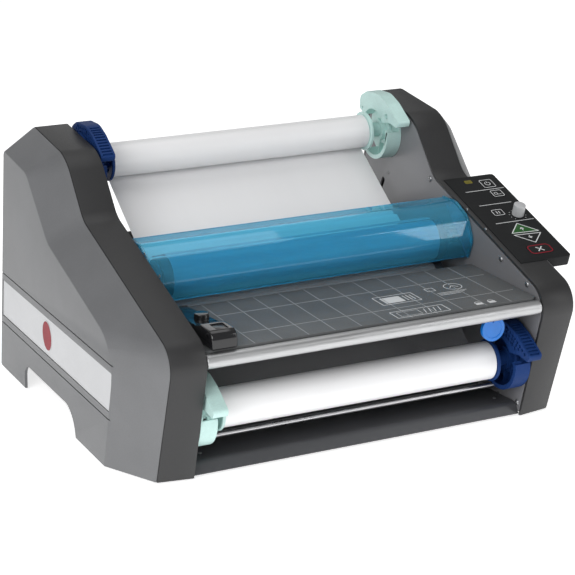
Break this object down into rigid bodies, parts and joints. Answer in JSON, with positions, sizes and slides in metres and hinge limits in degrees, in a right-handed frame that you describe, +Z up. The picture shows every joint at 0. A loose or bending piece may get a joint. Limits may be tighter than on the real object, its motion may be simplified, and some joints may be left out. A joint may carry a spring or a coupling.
{
  "type": "roll laminator",
  "caption": "Desktop heated roll laminator with two film rolls in lever-locked saddles, a clear shield, a feed table and a side control panel.",
  "frame": {"origin": "middle of the machine's footprint, on the surface it stands on", "axes": "+X to the operator's right, +Y to the rear, +Z up"},
  "size_m": [0.504, 0.4276, 0.2901],
  "materials": {
    "cover_graphite": "fine-textured moulded plastic, dark grey",
    "cover_black": "fine-textured moulded plastic, near black",
    "plate_paint": "satin grey paint on sheet steel",
    "dark_sheet": "dark satin paint on sheet steel",
    "stripe_silver": "satin silver inlay",
    "foot_rubber": "black moulded rubber",
    "bar_chrome": "polished chrome",
    "bar_aluminium": "satin extruded aluminium",
    "inlet_plastic": "black moulded plastic",
    "table_slate": "slate surface with light printed lines",
    "gloss_black": "glossy black moulded plastic",
    "latch_blue": "bright blue moulded plastic",
    "shield_blue": "clear blue polycarbonate",
    "silicone": "dark silicone rubber cover",
    "pull_rubber": "black rubber cover",
    "gear_plastic": "natural moulded gear plastic",
    "motor_steel": "plated steel",
    "film_roll": "wound clear film, looks white",
    "film_web": "single layer of clear film",
    "end_navy": "navy moulded plastic",
    "end_teal": "pale teal moulded plastic",
    "panel_black": "black panel with light printed marks",
    "board_green": "green circuit board",
    "knob_silver": "silver-coated plastic",
    "light_amber": "amber lens",
    "key_green": "green printed key",
    "key_red": "red printed key"
  },
  "bodies": {
    "root": {"base_plate": "dark_sheet", "left_side_plate": "plate_paint", "right_side_plate": "plate_paint", "left_inner_cover": "cover_black", "right_inner_cover": "cover_black", "left_outer_cover": "cover_graphite", "right_outer_cover": "cover_graphite", "left_stripe": "stripe_silver", "right_stripe": "stripe_silver", "left_front_foot": "foot_rubber", "left_rear_foot": "foot_rubber", "right_front_foot": "foot_rubber", "right_rear_foot": "foot_rubber", "front_tray": "dark_sheet", "rear_panel": "cover_black", "lower_idler_bar": "bar_chrome", "upper_idler_bar": "bar_aluminium", "power_inlet": "inlet_plastic", "drive_motor": "motor_steel", "upper_film_web": "film_web", "lower_film_web": "film_web", "upper_left_saddle": "end_navy", "upper_right_saddle": "end_teal", "lower_left_saddle": "end_teal", "lower_right_saddle": "end_navy", "control_panel": "panel_black", "circuit_board": "board_green", "ready_light": "light_amber"},
    "table": {"feed_table": "table_slate", "front_bar": "bar_aluminium"},
    "guide": {"edge_guide": "gloss_black"},
    "latch": {"table_latch": "latch_blue"},
    "shield": {"heat_shield": "shield_blue"},
    "upper_film": {"upper_film_roll": "film_roll", "upper_left_chuck": "end_navy", "upper_right_chuck": "end_teal"},
    "lower_film": {"lower_film_roll": "film_roll", "lower_left_chuck": "end_teal", "lower_right_chuck": "end_navy"},
    "lower_heat": {"lower_heat_roller": "silicone", "lower_heat_gear": "gear_plastic"},
    "upper_heat": {"upper_heat_roller": "silicone", "upper_heat_gear": "gear_plastic"},
    "lower_pull": {"lower_pull_roller": "pull_rubber", "lower_pull_gear": "gear_plastic"},
    "upper_pull": {"upper_pull_roller": "pull_rubber", "upper_pull_gear": "gear_plastic"},
    "idler": {"idler_gear": "gear_plastic"},
    "pinion": {"motor_pinion": "motor_steel"},
    "knob": {"speed_knob": "knob_silver"},
    "upper_left_lever": {"upper_left_lever": "end_navy"},
    "upper_right_lever": {"upper_right_lever": "end_teal"},
    "lower_left_lever": {"lower_left_lever": "end_teal"},
    "lower_right_lever": {"lower_right_lever": "end_navy"},
    "power_key": {"power_key": "panel_black"},
    "film_key": {"film_key": "panel_black"},
    "standby_key": {"standby_key": "panel_black"},
    "run_key": {"run_key": "key_green"},
    "reverse_key": {"reverse_key": "panel_black"},
    "stop_key": {"stop_key": "key_red"}
  },
  "joints": [
    {"name": "upper_film_spin", "type": "hinge", "parent": "root", "child": "upper_film", "pos_m": [0, 0.12065, 0.247], "axis": [1, 0, 0], "continuous": true},
    {"name": "lower_film_spin", "type": "hinge", "parent": "root", "child": "lower_film", "pos_m": [0, -0.15605, 0.0636], "axis": [1, 0, 0], "continuous": true},
    {"name": "lower_heat_spin", "type": "hinge", "parent": "root", "child": "lower_heat", "pos_m": [0, -0.03235, 0.1165], "axis": [1, 0, 0], "continuous": true},
    {"name": "upper_heat_spin", "type": "hinge", "parent": "root", "child": "upper_heat", "pos_m": [0, -0.03235, 0.1615], "axis": [1, 0, 0], "continuous": true},
    {"name": "lower_pull_spin", "type": "hinge", "parent": "root", "child": "lower_pull", "pos_m": [0, 0.10237, 0.1225], "axis": [1, 0, 0], "continuous": true},
    {"name": "upper_pull_spin", "type": "hinge", "parent": "root", "child": "upper_pull", "pos_m": [0, 0.10237, 0.1555], "axis": [1, 0, 0], "continuous": true},
    {"name": "idler_spin", "type": "hinge", "parent": "root", "child": "idler", "pos_m": [0.192, 0.03815, 0.1165], "axis": [1, 0, 0], "continuous": true},
    {"name": "pinion_spin", "type": "hinge", "parent": "root", "child": "pinion", "pos_m": [0.192, -0.05356, 0.09122], "axis": [1, 0, 0], "continuous": true},
    {"name": "shield_hinge", "type": "hinge", "parent": "root", "child": "shield", "pos_m": [0, -0.02035, 0.192], "axis": [-1, 0, 0], "range_deg": [0, 70]},
    {"name": "table_pull", "type": "slide", "parent": "root", "child": "table", "axis": [0, -1, 0], "range_m": [0, 0.045]},
    {"name": "guide_slide", "type": "slide", "parent": "table", "child": "guide", "axis": [1, 0, 0], "range_m": [0, 0.3]},
    {"name": "latch_swing", "type": "hinge", "parent": "table", "child": "latch", "pos_m": [0.141, -0.18235, 0.123], "axis": [-1, 0, 0], "range_deg": [0, 25], "stiffness_Nm_per_rad": 0.02},
    {"name": "knob_turn", "type": "hinge", "parent": "root", "child": "knob", "pos_m": [0.235, -0.07635, 0.1878], "axis": [0, 0.3048, -0.9524], "range_deg": [0, 270]},
    {"name": "upper_left_lever_turn", "type": "hinge", "parent": "root", "child": "upper_left_lever", "pos_m": [-0.172, 0.12065, 0.247], "axis": [-1, 0, 0], "range_deg": [0, 65]},
    {"name": "upper_right_lever_turn", "type": "hinge", "parent": "root", "child": "upper_right_lever", "pos_m": [0.172, 0.12065, 0.247], "axis": [-1, 0, 0], "range_deg": [0, 65]},
    {"name": "lower_left_lever_turn", "type": "hinge", "parent": "root", "child": "lower_left_lever", "pos_m": [-0.172, -0.15605, 0.0636], "axis": [-1, 0, 0], "range_deg": [0, 65]},
    {"name": "lower_right_lever_turn", "type": "hinge", "parent": "root", "child": "lower_right_lever", "pos_m": [0.172, -0.15605, 0.0636], "axis": [-1, 0, 0], "range_deg": [0, 65]},
    {"name": "power_press", "type": "slide", "parent": "root", "child": "power_key", "axis": [0, 0.3048, -0.9524], "range_m": [0, 0.0008], "stiffness_N_per_m": 400, "springref_m": -0.0003},
    {"name": "film_press", "type": "slide", "parent": "root", "child": "film_key", "axis": [0, 0.3048, -0.9524], "range_m": [0, 0.0008], "stiffness_N_per_m": 400, "springref_m": -0.0003},
    {"name": "standby_press", "type": "slide", "parent": "root", "child": "standby_key", "axis": [0, 0.3048, -0.9524], "range_m": [0, 0.0008], "stiffness_N_per_m": 400, "springref_m": -0.0003},
    {"name": "run_press", "type": "slide", "parent": "root", "child": "run_key", "axis": [0, 0.3048, -0.9524], "range_m": [0, 0.0008], "stiffness_N_per_m": 400, "springref_m": -0.0003},
    {"name": "reverse_press", "type": "slide", "parent": "root", "child": "reverse_key", "axis": [0, 0.3048, -0.9524], "range_m": [0, 0.0008], "stiffness_N_per_m": 400, "springref_m": -0.0003},
    {"name": "stop_press", "type": "slide", "parent": "root", "child": "stop_key", "axis": [0, 0.3048, -0.9524], "range_m": [0, 0.0008], "stiffness_N_per_m": 400, "springref_m": -0.0003}
  ],
  "couplings": [
    {"joint": "upper_heat_spin", "follows": "lower_heat_spin", "ratio": -1},
    {"joint": "idler_spin", "follows": "lower_heat_spin", "ratio": -0.46875},
    {"joint": "lower_pull_spin", "follows": "lower_heat_spin", "ratio": 1.3636},
    {"joint": "upper_pull_spin", "follows": "lower_heat_spin", "ratio": -1.3636},
    {"joint": "pinion_spin", "follows": "lower_heat_spin", "ratio": -2.1429}
  ]
}
